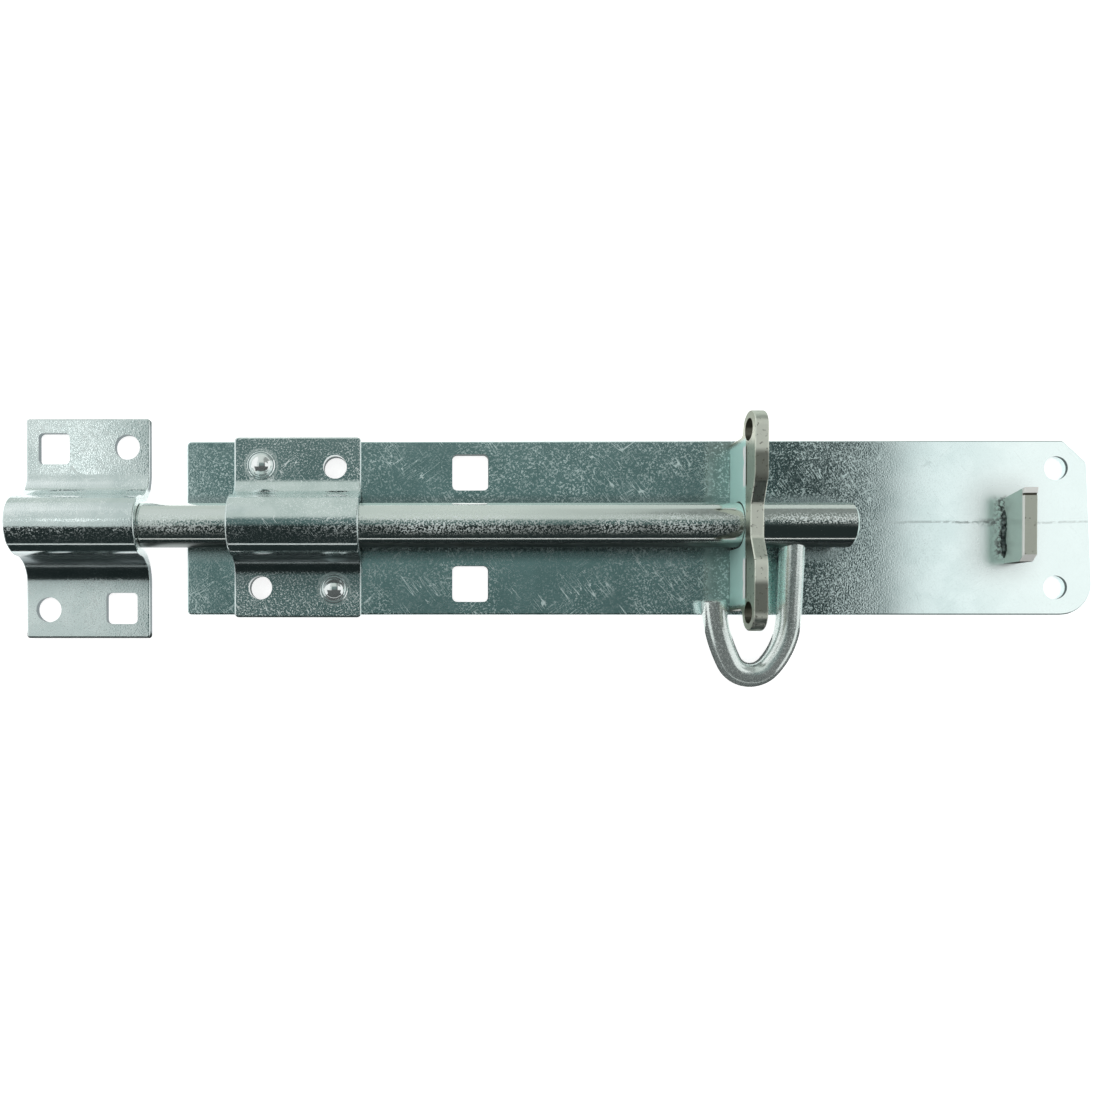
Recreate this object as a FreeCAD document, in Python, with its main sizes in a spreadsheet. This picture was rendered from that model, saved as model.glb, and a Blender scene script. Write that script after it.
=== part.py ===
import FreeCAD, Part
import os
import re
import Sketcher

# A padbolt: a round bolt bar that slides and turns on a steel plate, under a riveted guide strap and
# through a locking lug, with a bent hook welded to it and a separate keep around its far end.
# The back of the plate lies on z = 0 with its centre at the origin, the bolt runs along X, the keep
# is at -X, and +Z points away from the door. All sizes are in millimetres and degrees.

SIZES = (
    ("plate_length", 250.0, "base plate along the bolt"),
    ("plate_width", 48.0, "base plate across the bolt"),
    ("plate_thickness", 2.5, "sheet of the base plate"),
    ("plate_skew", 2.0, "how far the sheared right end is out of square"),
    ("plate_cut_x", 6.5, "cropped upper right corner, along the bolt"),
    ("plate_cut_y", 6.0, "cropped upper right corner, across the bolt"),
    ("plate_cut_round", 2.0, "rounding at both ends of the cropped corner"),
    ("plate_corner", 8.5, "round of the lower right corner"),
    ("plate_left_corner", 1.2, "round of the left corners"),
    ("plate_edge_round", 0.4, "rolled front edge of the plate"),
    ("coach_hole", 10.0, "square coach bolt hole, across its flats"),
    ("coach_hole_round", 1.4, "corner round of the square hole"),
    ("coach_hole_inset", 78.6, "left end of the plate to the square holes"),
    ("coach_hole_spacing", 30.8, "between the two square holes"),
    ("end_hole", 6.5, "screw hole at the right end"),
    ("end_hole_inset", 10.4, "right end of the plate to the screw holes"),
    ("end_hole_spacing", 32.8, "between the two end screw holes"),
    ("bar_diameter", 12.0, "round bolt bar"),
    ("bar_lift", 0.3, "gap between the plate and the bar"),
    ("bar_clearance", 0.3, "running gap around the bar in strap, lug and keep"),
    ("bar_chamfer", 0.7, "broken edge at the ends of the bar"),
    ("bar_tail", 15.5, "hook leg to the right end of the bar"),
    ("bar_short", 4.7, "far end of the keep to the end of the bar"),
    ("withdrawal", 45.0, "right end of the bar to the stop tab"),
    ("strap_length", 35.0, "guide strap along the bolt"),
    ("strap_width", 49.6, "guide strap across the bolt"),
    ("strap_thickness", 2.0, "sheet of the guide strap"),
    ("strap_inset", 13.5, "left end of the plate to the strap"),
    ("strap_bend", 4.8, "hollow bend between flange and saddle"),
    ("strap_corner", 1.2, "round of the flange corners"),
    ("strap_edge_round", 0.5, "rolled front edge of the strap"),
    ("strap_hole", 6.5, "screw hole through strap and plate"),
    ("strap_hole_x", 10.3, "screw hole from the strap's centre, along"),
    ("strap_hole_y", 16.6, "screw hole from the bolt's axis, across"),
    ("rivet_x", 10.0, "rivet from the strap's centre, along"),
    ("rivet_y", 17.0, "rivet from the bolt's axis, across"),
    ("rivet_skirt", 7.7, "flat skirt under the dome of the rivet, across"),
    ("rivet_skirt_rise", 0.55, "height of the skirt"),
    ("rivet_skirt_chamfer", 0.25, "broken upper edge of the skirt"),
    ("rivet_head", 6.6, "dome of the rivet, across"),
    ("rivet_rise", 1.95, "height of the dome above its skirt"),
    ("rivet_shank", 4.5, "shank of the rivet"),
    ("rivet_tail", 6.6, "tail set into the back of the plate, across"),
    ("rivet_tail_depth", 1.2, "depth of the tail's countersink"),
    ("lug_x", 25.2, "plate's centre to the left face of the lug"),
    ("lug_thickness", 3.6, "plate of the lug"),
    ("lug_width", 46.0, "stem of the lug across the bolt"),
    ("ear_spacing", 47.6, "between the padlock holes"),
    ("ear_height", 14.8, "padlock hole above the plate's face"),
    ("ear_radius", 4.8, "round ear about the padlock hole"),
    ("padlock_hole", 5.8, "padlock hole in each ear"),
    ("bridge_height", 16.4, "bridge over the bar above the plate's face"),
    ("bridge_width", 8.4, "flat of the bridge"),
    ("shoulder_width", 22.0, "between the shoulders of the ears"),
    ("bridge_round", 2.5, "hollow beside the bridge"),
    ("shoulder_round", 6.0, "round of the shoulders"),
    ("armpit_round", 1.5, "hollow under each ear"),
    ("lug_edge_round", 0.4, "punched edge of the lug"),
    ("lug_tenon", 8.0, "width of each tenon of the lug"),
    ("lug_tenon_spacing", 28.0, "between the two tenons"),
    ("tenon_clearance", 0.1, "gap around each tenon in its slot"),
    ("tab_thickness", 3.8, "plate of the stop tab"),
    ("tab_width", 19.6, "stop tab across the bolt"),
    ("tab_height", 8.2, "stop tab above the plate's face"),
    ("tab_lean", 1.6, "how far the tab's upper end leans out over its foot"),
    ("tab_chamfer", 1.7, "cut corner at the tab's lower end"),
    ("tab_lip", 1.5, "sheared lip at the tab's upper end, across"),
    ("tab_lip_rise", 0.4, "how far the lip stands above the tab"),
    ("tab_groove", 0.6, "groove beside the lip, across"),
    ("tab_groove_depth", 0.5, "depth of that groove"),
    ("tab_edge_round", 0.4, "punched edge of the stop tab"),
    ("tab_tenon", 10.0, "width of the tab's tenon"),
    ("keep_length", 34.5, "keep along the bolt"),
    ("keep_width", 61.0, "keep across the bolt"),
    ("keep_thickness", 2.0, "sheet of the keep"),
    ("keep_gap", 10.5, "left end of the plate to the keep"),
    ("keep_bend", 7.0, "hollow bend between flange and saddle"),
    ("keep_corner", 0.8, "round of the flange corners"),
    ("keep_edge_round", 0.5, "rolled front edge of the keep"),
    ("keep_square", 8.7, "square hole of the keep, across its flats"),
    ("keep_square_round", 1.3, "corner round of that hole"),
    ("keep_square_x", 9.4, "square hole from the keep's centre, along"),
    ("keep_square_y", 22.2, "square hole from the bolt's axis, across"),
    ("keep_hole", 7.0, "round hole of the keep"),
    ("keep_hole_x", 11.0, "round hole from the keep's centre, along"),
    ("keep_hole_y", 22.6, "round hole from the bolt's axis, across"),
    ("hook_rod", 6.6, "rod that the hook is bent from"),
    ("hook_drop", 40.8, "bar's axis to the rod's centre at the bottom of the hook"),
    ("hook_span", 9.9, "root leg to the bottom of the hook, along the bolt"),
    ("hook_bottom_radius", 6.6, "bend at the bottom, to the rod's centre"),
    ("hook_root_radius", 20.8, "bend into the root leg"),
    ("hook_tip_radius", 42.0, "long bend up to the free end"),
    ("hook_tip_start", 62.0, "turn at which that long bend starts"),
    ("hook_tip_end", 86.5, "turn at which the rod is cut off"),
    ("hook_tip_chamfer", 0.4, "broken edge of the free end"),
    ("hook_lug_gap", 0.35, "gap between the hook's inner side and the lug as it swings over the ear"),
    ("hook_rest_gap", 0.2, "gap between the resting hook and the plate's edge"),
    ("weld_gap", 0.05, "joint between the bar and the hook's root"),
)

ALIASES = {alias for alias, _, _ in SIZES}
TOLERANCE = 1e-5
UPRIGHT_SHARE = 0.999

doc = FreeCAD.newDocument("padbolt")
sheet = doc.addObject("Spreadsheet::Sheet", "Sizes")
for row, (alias, number, note) in enumerate(SIZES, start=1):
    sheet.set(f"A{row}", note)
    sheet.set(f"B{row}", repr(number))
    sheet.setAlias(f"B{row}", alias)
doc.recompute()


def of(expression):
    """Put the sheet's name before each bare alias in an expression."""
    def named(match):
        """Name the sheet if the word is one of its aliases."""
        return f"Sizes.{match[0]}" if match[0] in ALIASES else match[0]

    return "(" + re.sub(r"(?<![\w.])[a-z]\w*", named, expression) + ")"


def value(expression):
    """Give the number that an expression of the sheet's aliases stands for now."""
    result = sheet.evalExpression(of(expression))
    return float(getattr(result, "Value", result))


# Places that several pieces share, each worked out once from the sheet
AXIS_Z = of("plate_thickness + bar_lift + bar_diameter / 2")
BAR_BORE = of("bar_diameter / 2 + bar_clearance")
STRAP_X = of("strap_inset + strap_length / 2 - plate_length / 2")
KEEP_X = of("-plate_length / 2 - keep_gap - keep_length / 2")
EAR_Y = of("ear_spacing / 2")
EAR_Z = of("plate_thickness + ear_height")
EAR_REACH = of(f"sqrt(({EAR_Y}) ^ 2 + ({EAR_Z} - {AXIS_Z}) ^ 2) + ear_radius")
# The long bend of the hook curves round a centre of its own, given here from the bottom of the hook
TIP_CENTRE_X = of("(hook_tip_radius - hook_bottom_radius) * sin(hook_tip_start)")
TIP_CENTRE_DROP = of("hook_drop - hook_bottom_radius"
                     " - (hook_tip_radius - hook_bottom_radius) * cos(hook_tip_start)")
# The hook stands where the inner side of that bend just clears the ear
HOOK_X = of(f"lug_x - hook_lug_gap - {TIP_CENTRE_X}"
            f" + sqrt((hook_tip_radius - hook_rod / 2) ^ 2 - ({EAR_REACH} - {TIP_CENTRE_DROP}) ^ 2)")
BAR_LEFT = of(f"{KEEP_X} - keep_length / 2 + bar_short")
BAR_RIGHT = of(f"{HOOK_X} + hook_span + bar_tail")
TAB_X = of(f"{BAR_RIGHT} + withdrawal")


def new_body(label, x="0", y="0", z="0"):
    """Start a body whose place is bound to the sheet."""
    body = doc.addObject("PartDesign::Body", label)
    body.Label = label
    for name, expression in zip("xyz", (x, y, z)):
        body.setExpression(f"Placement.Base.{name}", expression)
    return body


def plane_of(body, role):
    """Find one of the body's own origin planes or axes by its role."""
    return next(item for item in body.Origin.OriginFeatures if item.Role == role)


def new_sketch(body, name, role):
    """Lay an empty sketch on one of the body's origin planes."""
    sketch = body.newObject("Sketcher::SketchObject", name)
    sketch.AttachmentSupport = [(plane_of(body, role), "")]
    sketch.MapMode = "FlatFace"
    return sketch


def fix(sketch, kind, geometry, point, expression):
    """Bind one coordinate of a sketch point to the sheet."""
    index = sketch.addConstraint(Sketcher.Constraint(kind, -1, 1, geometry, point, value(expression)))
    sketch.setExpression(f"Constraints[{index}]", expression)


def draw(sketch, corners, closed=True):
    """Draw straight sides and arcs through corners whose coordinates are bound to the sheet.

    A corner is (x, y) where a straight side leads to it, or (x, y, centre_x, centre_y, turn) where an
    arc does, with turn +1 for an arc that turns left and -1 for one that turns right.
    """
    bound = [tuple(of(item) if isinstance(item, str) else item for item in corner) for corner in corners]
    sides = list(zip(bound, bound[1:] + bound[:1]))
    if not closed:
        sides.pop()
    ends = []
    for start, end in sides:
        first = FreeCAD.Vector(value(start[0]), value(start[1]), 0)
        last = FreeCAD.Vector(value(end[0]), value(end[1]), 0)
        if len(end) == 2:
            side = sketch.addGeometry(Part.LineSegment(first, last), False)
            ends.append((side, 1, 2))
            continue
        centre = FreeCAD.Vector(value(end[2]), value(end[3]), 0)
        circle = Part.Circle(centre, FreeCAD.Vector(0, 0, 1), (first - centre).Length)
        limits = (circle.parameter(first), circle.parameter(last))
        side = sketch.addGeometry(Part.ArcOfCircle(circle, *limits[::end[4]]), False)
        ends.append((side, 1, 2) if end[4] > 0 else (side, 2, 1))
        chord = last - first
        if abs(chord.x) > abs(chord.y):
            fix(sketch, "DistanceY", side, 3, end[3])
        else:
            fix(sketch, "DistanceX", side, 3, end[2])
    for (side, first_point, _), (start, _) in zip(ends, sides):
        fix(sketch, "DistanceX", side, first_point, start[0])
        fix(sketch, "DistanceY", side, first_point, start[1])
    following = ends[1:] + ends[:1] if closed else ends[1:]
    for (side, _, last_point), (other, first_point, _) in zip(ends, following):
        sketch.addConstraint(Sketcher.Constraint("Coincident", side, last_point, other, first_point))
    if not closed:
        side, _, last_point = ends[-1]
        fix(sketch, "DistanceX", side, last_point, sides[-1][1][0])
        fix(sketch, "DistanceY", side, last_point, sides[-1][1][1])


def draw_circle(sketch, x, y, diameter):
    """Draw a circle whose centre and diameter are bound to the sheet."""
    x, y, diameter = of(x), of(y), of(diameter)
    centre = FreeCAD.Vector(value(x), value(y), 0)
    normal = FreeCAD.Vector(0, 0, 1)
    ring = sketch.addGeometry(Part.Circle(centre, normal, value(diameter) / 2), False)
    fix(sketch, "DistanceX", ring, 3, x)
    fix(sketch, "DistanceY", ring, 3, y)
    index = sketch.addConstraint(Sketcher.Constraint("Diameter", ring, value(diameter)))
    sketch.setExpression(f"Constraints[{index}]", diameter)


def draw_box(sketch, x, y, width, height):
    """Draw a rectangle about a centre, bound to the sheet."""
    corners = ((-1, -1), (1, -1), (1, 1), (-1, 1))
    draw(sketch, [(f"{x} + ({i}) * ({width}) / 2", f"{y} + ({j}) * ({height}) / 2") for i, j in corners])


def pad(body, name, sketch, length, side_type="One side"):
    """Pad a sketch by a length that is bound to the sheet."""
    feature = body.newObject("PartDesign::Pad", name)
    feature.Profile = sketch
    feature.SideType = side_type
    feature.setExpression("Length", of(length))
    doc.recompute()
    return feature


def cut_through(body, name, sketch):
    """Cut a sketch through the whole body, both ways, and check that it took something away."""
    before = body.Shape.Volume
    feature = body.newObject("PartDesign::Pocket", name)
    feature.Profile = sketch
    feature.SideType = "Symmetric"
    feature.Type = "ThroughAll"
    doc.recompute()
    if body.Shape.Volume >= before:
        raise RuntimeError(f"{name} of {body.Label} cuts nothing")
    return feature


def dress(body, kind, name, size, wanted):
    """Fillet or chamfer the edges of the body's last feature that a test picks out."""
    base = body.Tip
    edges = [f"Edge{n}" for n, edge in enumerate(base.Shape.Edges, start=1) if wanted(edge)]
    if not edges:
        raise RuntimeError(f"{name} of {body.Label} finds no edge")
    feature = body.newObject(f"PartDesign::{kind}", name)
    feature.Base = (base, edges)
    feature.setExpression("Radius" if kind == "Fillet" else "Size", of(size))
    doc.recompute()
    return feature


def is_close(a, b):
    """Tell whether two lengths are the same but for rounding."""
    return abs(a - b) < TOLERANCE


def stands_at(edge, corners):
    """Tell whether an edge is upright over one of the (x, y) corners."""
    low, high = edge.BoundBox.ZMin, edge.BoundBox.ZMax
    upright = len(edge.Vertexes) == 2 and high - low > edge.Length * UPRIGHT_SHARE
    place = edge.CenterOfMass
    return upright and any(is_close(place.x, x) and is_close(place.y, y) for x, y in corners)


def square_corners(x, y, width, height):
    """List the corners of a rectangle about a centre, as numbers."""
    x, y, half_x, half_y = value(x), value(y), value(width) / 2, value(height) / 2
    return [(x + i * half_x, y + j * half_y) for i in (-1, 1) for j in (-1, 1)]


def base_plate():
    """Sheared plate with its holes, the slots for lug and tab, and countersinks for the rivets."""
    body = new_body("base_plate")
    half_x, half_y = "plate_length / 2", "plate_width / 2"
    crop = (f"{half_x} - plate_skew - plate_cut_x", f"{half_x} - plate_skew")
    blank = new_sketch(body, "blank", "XY_Plane")
    draw(blank, [(f"-{half_x}", f"-{half_y}"), (half_x, f"-{half_y}"), (crop[1], f"{half_y} - plate_cut_y"),
                 (crop[0], half_y), (f"-{half_x}", half_y)])
    pad(body, "sheet", blank, "plate_thickness")

    holes = new_sketch(body, "holes", "XY_Plane")
    slots = [(f"{TAB_X} + tab_thickness / 2", "0", "tab_thickness", "tab_tenon")]
    squares = []
    for side in ("+", "-"):
        draw_circle(holes, f"{half_x} - end_hole_inset", f"{side}end_hole_spacing / 2", "end_hole")
        draw_circle(holes, f"{STRAP_X} + ({side}strap_hole_x)", f"{side}strap_hole_y", "strap_hole")
        draw_circle(holes, f"{STRAP_X} - ({side}rivet_x)", f"{side}rivet_y", "rivet_shank")
        squares.append(("coach_hole_inset - plate_length / 2", f"{side}coach_hole_spacing / 2"))
        slots.append(("lug_x + lug_thickness / 2", f"{side}lug_tenon_spacing / 2",
                      "lug_thickness", "lug_tenon"))
    for x, y in squares:
        draw_box(holes, x, y, "coach_hole", "coach_hole")
    for x, y, width, height in slots:
        draw_box(holes, x, y, f"{width} + 2 * tenon_clearance", f"{height} + 2 * tenon_clearance")
    cut_through(body, "hole_cuts", holes)

    for number, side in enumerate(("+", "-"), start=1):
        sink = body.newObject("PartDesign::SubtractiveCone", f"rivet_sink_{number}")
        sink.setExpression("Radius1", of("rivet_tail / 2"))
        sink.setExpression("Radius2", of("rivet_shank / 2"))
        sink.setExpression("Height", of("rivet_tail_depth"))
        sink.setExpression("Placement.Base.x", of(f"{STRAP_X} - ({side}rivet_x)"))
        sink.setExpression("Placement.Base.y", of(f"{side}rivet_y"))
        doc.recompute()

    square_ends = [corner for x, y in squares for corner in square_corners(x, y, "coach_hole", "coach_hole")]
    dress(body, "Fillet", "square_rounds", "coach_hole_round", lambda edge: stands_at(edge, square_ends))
    left = [(value(f"-{half_x}"), side * value(half_y)) for side in (-1, 1)]
    dress(body, "Fillet", "left_rounds", "plate_left_corner", lambda edge: stands_at(edge, left))
    lower = [(value(half_x), -value(half_y))]
    dress(body, "Fillet", "lower_round", "plate_corner", lambda edge: stands_at(edge, lower))
    cropped = [(value(x), value(y)) for x, y in zip(crop, (half_y, f"{half_y} - plate_cut_y"))]
    dress(body, "Fillet", "crop_rounds", "plate_cut_round", lambda edge: stands_at(edge, cropped))
    front = value("plate_thickness")
    face = next(face for face in body.Tip.Shape.Faces if is_close(face.CenterOfMass.z, front))
    rim = face.OuterWire.Edges
    dress(body, "Fillet", "front_edge", "plate_edge_round",
          lambda edge: any(edge.isSame(other) for other in rim))
    return body


def saddle(label, name, x, seat, draw_holes, square=None):
    """Pressed saddle: two flanges and a half round over the bar, joined by hollow bends.

    The name is the word that its sizes start with in the sheet, seat is the height that its flanges
    lie at, draw_holes draws its holes in a sketch, and square lists the corners of its square holes.
    """
    body = new_body(label, x=x)
    crown = f"({BAR_BORE} + {name}_thickness)"
    face = f"({seat} + {name}_thickness)"
    reach = f"({crown} + {name}_bend)"
    rise = f"({face} + {name}_bend - {AXIS_Z})"
    bend_y = f"sqrt({reach} ^ 2 - {rise} ^ 2)"
    bend_z = f"({face} + {name}_bend)"
    half = f"{name}_width / 2"

    def meeting(radius):
        """Place where the half round of this radius runs into the bend."""
        return f"{radius} * {bend_y} / {reach}", f"{AXIS_Z} + {radius} * {rise} / {reach}"

    outer_y, outer_z = meeting(crown)
    inner_y, inner_z = meeting(BAR_BORE)
    section = new_sketch(body, f"{label}_section", "YZ_Plane")
    draw(section, [
        (half, seat),
        (half, face),
        (bend_y, face),
        (outer_y, outer_z, bend_y, bend_z, -1),
        (f"-{outer_y}", outer_z, "0", AXIS_Z, 1),
        (f"-{bend_y}", face, f"-{bend_y}", bend_z, -1),
        (f"-{half}", face),
        (f"-{half}", seat),
        (f"-{bend_y}", seat),
        (f"-{inner_y}", inner_z, f"-{bend_y}", bend_z, 1),
        (inner_y, inner_z, "0", AXIS_Z, -1),
        (bend_y, seat, bend_y, bend_z, 1),
    ])
    pad(body, f"{label}_pressing", section, f"{name}_length", "Symmetric")
    holes = new_sketch(body, f"{label}_holes", "XY_Plane")
    draw_holes(holes)
    cut_through(body, f"{label}_hole_cuts", holes)
    if square:
        dress(body, "Fillet", f"{label}_square_rounds", f"{name}_square_round",
              lambda edge: stands_at(edge, square))

    corners = square_corners("0", "0", f"{name}_length", f"{name}_width")
    dress(body, "Fillet", f"{label}_corners", f"{name}_corner", lambda edge: stands_at(edge, corners))
    end, front, bend = value(f"{name}_length / 2"), value(face), value(bend_y)
    radii = (value(f"{name}_bend"), value(crown))

    def on_front_edge(edge):
        """Pick the outline of the front, and neither the bend lines nor the holes."""
        box, radius = edge.BoundBox, getattr(edge.Curve, "Radius", None)
        if box.XLength < TOLERANCE and is_close(abs(box.XMin), end):
            straight = radius is None and is_close(box.ZMin, front) and is_close(box.ZMax, front)
            return straight or any(radius is not None and is_close(radius, other) for other in radii)
        level = is_close(box.ZMin, front) and is_close(box.ZMax, front)
        on_side = is_close(abs(box.Center.y), value(half))
        on_corner = radius is not None and is_close(radius, value(f"{name}_corner"))
        return level and not is_close(abs(box.YMin), bend) and (on_side or on_corner)

    dress(body, "Fillet", f"{label}_front_edge", f"{name}_edge_round", on_front_edge)
    return body


def guide_strap():
    """Saddle that is riveted to the plate and guides the bar."""
    def holes(sketch):
        """Draw two screw holes and two rivet holes, corner to corner."""
        for side in ("+", "-"):
            draw_circle(sketch, f"{side}strap_hole_x", f"{side}strap_hole_y", "strap_hole")
            draw_circle(sketch, f"-({side}rivet_x)", f"{side}rivet_y", "rivet_shank")

    return saddle("guide_strap", "strap", STRAP_X, of("plate_thickness"), holes)


def keep():
    """Saddle that is screwed to the door frame and takes the end of the bar."""
    squares = [(f"-({side}keep_square_x)", f"{side}keep_square_y") for side in ("+", "-")]

    def holes(sketch):
        """Draw two square holes and two round holes, corner to corner."""
        for side, (x, y) in zip(("+", "-"), squares):
            draw_box(sketch, x, y, "keep_square", "keep_square")
            draw_circle(sketch, f"{side}keep_hole_x", f"{side}keep_hole_y", "keep_hole")

    corners = [corner for x, y in squares for corner in square_corners(x, y, "keep_square", "keep_square")]
    return saddle("keep", "keep", KEEP_X, "0", holes, corners)


def strap_rivets():
    """Two rivets with skirted domes, their tails set flush into the back of the plate."""
    face = "plate_thickness + strap_thickness"
    seat = f"{face} + rivet_skirt_rise"
    dome = "((rivet_head / 2) ^ 2 + rivet_rise ^ 2) / (2 * rivet_rise)"
    rivets = []
    for number, side in enumerate(("+", "-"), start=1):
        body = new_body(f"rivet_{number}", x=of(f"{STRAP_X} - ({side}rivet_x)"), y=of(f"{side}rivet_y"))
        half = new_sketch(body, f"rivet_half_{number}", "XZ_Plane")
        draw(half, [
            ("0", "0"),
            ("rivet_tail / 2", "0"),
            ("rivet_shank / 2", "rivet_tail_depth"),
            ("rivet_shank / 2", face),
            ("rivet_skirt / 2", face),
            ("rivet_skirt / 2", f"{seat} - rivet_skirt_chamfer"),
            ("rivet_skirt / 2 - rivet_skirt_chamfer", seat),
            ("rivet_head / 2", seat),
            ("0", f"{seat} + rivet_rise", "0", f"{seat} + rivet_rise - {dome}", 1),
        ])
        turned = body.newObject("PartDesign::Revolution", f"rivet_turned_{number}")
        turned.Profile = half
        turned.ReferenceAxis = (plane_of(body, "Z_Axis"), [""])
        turned.Angle = 360.0
        rivets.append(body)
    pair = doc.addObject("Part::Compound", "strap_rivets")
    pair.Label = "strap_rivets"
    pair.Links = rivets
    return pair


def bolt_bar():
    """Round bar from inside the keep to just past the hook."""
    body = new_body("bolt_bar", x=BAR_LEFT, z=AXIS_Z)
    end = new_sketch(body, "bar_end", "YZ_Plane")
    draw_circle(end, "0", "0", "bar_diameter")
    pad(body, "bar_stock", end, f"{BAR_RIGHT} - {BAR_LEFT}")
    dress(body, "Chamfer", "bar_ends", "bar_chamfer", lambda edge: edge.BoundBox.XLength < TOLERANCE)
    return body


def locking_lug():
    """Upright lug that bridges the bar, with a round ear for a padlock on each side."""
    body = new_body("locking_lug", x=of("lug_x"))
    face, bore_top = "plate_thickness", f"{AXIS_Z} + {BAR_BORE}"
    stem, ear_top = "lug_width / 2", f"({EAR_Z} + ear_radius)"
    armpit = f"{EAR_Z} - sqrt(ear_radius ^ 2 - ({EAR_Y} - {stem}) ^ 2)"
    bridge = f"{face} + bridge_height"
    inner, outer = "lug_tenon_spacing / 2 - lug_tenon / 2", "lug_tenon_spacing / 2 + lug_tenon / 2"
    half = new_sketch(body, "lug_half", "YZ_Plane")
    draw(half, [
        ("0", bore_top),
        (BAR_BORE, AXIS_Z, "0", AXIS_Z, -1),
        (BAR_BORE, face),
        (inner, face),
        (inner, "0"),
        (outer, "0"),
        (outer, face),
        (stem, face),
        (stem, armpit),
        (EAR_Y, ear_top, EAR_Y, EAR_Z, 1),
        ("shoulder_width / 2", ear_top),
        ("bridge_width / 2", bridge),
        ("0", bridge),
    ])
    plate = pad(body, "lug_plate", half, "lug_thickness")
    hole = new_sketch(body, "padlock_hole_sketch", "YZ_Plane")
    draw_circle(hole, EAR_Y, EAR_Z, "padlock_hole")
    punched = cut_through(body, "padlock_hole_cut", hole)
    both = body.newObject("PartDesign::Mirrored", "lug_both_sides")
    both.Originals = [plate, punched]
    both.MirrorPlane = (plane_of(body, "XZ_Plane"), [""])
    body.Tip = both
    doc.recompute()

    def along_bolt(corners):
        """Make a test for edges that run through the lug at (y, z) corners of either half."""
        places = [(value(y), value(z)) for y, z in corners]

        def wanted(edge):
            """Pick a straight edge along the bolt at one of those corners."""
            place = edge.CenterOfMass
            through = is_close(edge.BoundBox.XLength, edge.Length)
            return through and any(is_close(abs(place.y), y) and is_close(place.z, z) for y, z in places)
        return wanted

    dress(body, "Fillet", "bridge_hollows", "bridge_round", along_bolt([("bridge_width / 2", bridge)]))
    dress(body, "Fillet", "shoulders", "shoulder_round", along_bolt([("shoulder_width / 2", ear_top)]))
    dress(body, "Fillet", "armpits", "armpit_round", along_bolt([(stem, armpit)]))
    low, bore, crown = value(face), value(BAR_BORE), value(bore_top)

    def on_rim(edge):
        """Pick the punched outline above the plate on both sides, but not the arch or the holes."""
        box = edge.BoundBox
        outline = box.XLength < TOLERANCE and len(edge.Vertexes) == 2 and box.ZMax > low + TOLERANCE
        between = box.YMin > -bore - TOLERANCE and box.YMax < bore + TOLERANCE
        return outline and not (between and box.ZMax < crown + TOLERANCE)

    dress(body, "Fillet", "lug_rim", "lug_edge_round", on_rim)
    return body


def stop_tab():
    """Small upright tab that the bar runs against when it is drawn back."""
    body = new_body("stop_tab", x=TAB_X)
    face, top = "plate_thickness", "plate_thickness + tab_height"
    half, tenon = "tab_width / 2", "tab_tenon / 2"
    outline = new_sketch(body, "tab_outline", "YZ_Plane")
    draw(outline, [
        (tenon, "0"),
        (tenon, face),
        (f"{half} - tab_lean", face),
        (half, f"{top} + tab_lip_rise"),
        (f"{half} - tab_lip - tab_groove", top),
        (f"tab_chamfer - {half}", top),
        (f"-{half}", f"{top} - tab_chamfer"),
        (f"-{half}", face),
        (f"-{tenon}", face),
        (f"-{tenon}", "0"),
    ])
    pad(body, "tab_plate", outline, "tab_thickness")
    low = value(face)

    def on_rim(edge):
        """Pick the upper outline on both sides of the tab."""
        return edge.BoundBox.XLength < TOLERANCE and edge.BoundBox.ZMin > low + TOLERANCE

    dress(body, "Fillet", "tab_rim", "tab_edge_round", on_rim)
    groove = new_sketch(body, "tab_groove_section", "YZ_Plane")
    draw_box(groove, f"{half} - tab_lip - tab_groove / 2", top, "tab_groove", "2 * tab_groove_depth")
    cut_through(body, "tab_groove_cut", groove)
    return body


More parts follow.
